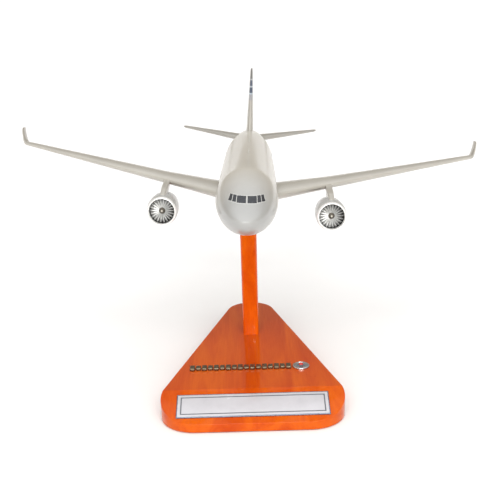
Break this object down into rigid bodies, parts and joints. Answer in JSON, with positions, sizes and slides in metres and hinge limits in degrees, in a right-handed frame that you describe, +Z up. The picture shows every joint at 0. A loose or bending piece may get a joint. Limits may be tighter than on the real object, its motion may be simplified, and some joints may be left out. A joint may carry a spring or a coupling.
{
  "type": "desktop airliner model",
  "caption": "Silver wooden desk model of a wide-body twin-engine airliner that lifts off and turns on a peg above a lacquered triangular wooden stand.",
  "frame": {"origin": "on the desk, under the middle of the object's bounding box", "axes": "+Y from the nose to the tail, +Z up, +X to the right of someone who faces the nose"},
  "size_m": [0.4078, 0.4417, 0.2333],
  "materials": {
    "stand_lacquer": "clear gloss lacquer over red cherry stain",
    "felt": "short felt",
    "steel": "turned steel",
    "brass": "turned brass",
    "bare_wood": "bare beech",
    "plate_metal": "satin anodised",
    "plate_print": "glossy white card with a thin border",
    "pewter": "dark pewter",
    "ornament_metal": "polished",
    "red_enamel": "gloss enamel",
    "silver_lacquer": "silver-grey pearl lacquer on carved wood",
    "fan_metal": "machined",
    "lip_metal": "polished",
    "dark_metal": "dark satin",
    "glazing": "gloss black",
    "white_plastic": "gloss"
  },
  "bodies": {
    "stand": {"stand_base": "stand_lacquer", "base_felt": "felt", "arm": "stand_lacquer", "arm_screws": "steel", "arm_washers": "steel", "arm_dowels": "bare_wood", "mounting_peg": "steel", "plate_back": "plate_metal", "plate_face": "plate_print", "badge_bars": "pewter", "ornament_disc": "ornament_metal", "ornament_star": "pewter", "ornament_stud": "red_enamel"},
    "thrust_washer": {"thrust_washer": "brass"},
    "aircraft": {"fuselage": "silver_lacquer", "belly_fairing": "silver_lacquer", "socket_bush": "brass", "wing_left": "silver_lacquer", "wing_right": "silver_lacquer", "winglet_left": "silver_lacquer", "winglet_right": "silver_lacquer", "wing_dowels": "bare_wood", "flap_fairings_left": "silver_lacquer", "flap_fairings_right": "silver_lacquer", "pylon_left": "silver_lacquer", "pylon_right": "silver_lacquer", "nacelle_left": "silver_lacquer", "nacelle_right": "silver_lacquer", "inlet_lip_left": "lip_metal", "inlet_lip_right": "lip_metal", "fan_bush_left": "brass", "fan_bush_right": "brass", "exhaust_nozzle_left": "dark_metal", "exhaust_nozzle_right": "dark_metal", "exhaust_plug_left": "dark_metal", "exhaust_plug_right": "dark_metal", "stabiliser_left": "silver_lacquer", "stabiliser_right": "silver_lacquer", "stabiliser_dowels": "bare_wood", "fin": "silver_lacquer", "fin_dowels": "bare_wood", "cockpit_glazing": "glazing", "blade_antennas": "white_plastic", "tail_cone": "dark_metal"},
    "fan_rotor_left": {"fan_left": "fan_metal", "spinner_left": "dark_metal", "fan_shaft_left": "steel"},
    "fan_rotor_right": {"fan_right": "fan_metal", "spinner_right": "dark_metal", "fan_shaft_right": "steel"}
  },
  "joints": [
    {"name": "aircraft_swivel", "type": "hinge", "parent": "stand", "child": "thrust_washer", "pos_m": [-0.0037, -0.01544, 0.14886], "axis": [0.0576, 0.0957, 0.9937], "continuous": true},
    {"name": "aircraft_lift", "type": "slide", "parent": "thrust_washer", "child": "aircraft", "axis": [0.0576, 0.0957, 0.9937], "range_m": [0, 0.03]},
    {"name": "fan_spin_left", "type": "hinge", "parent": "aircraft", "child": "fan_rotor_left", "pos_m": [-0.06754, -0.08858, 0.16373], "axis": [0.0105, 0.9953, -0.0964], "continuous": true},
    {"name": "fan_spin_right", "type": "hinge", "parent": "aircraft", "child": "fan_rotor_right", "pos_m": [0.05904, -0.0906, 0.15659], "axis": [0.0105, 0.9953, -0.0964], "continuous": true}
  ]
}
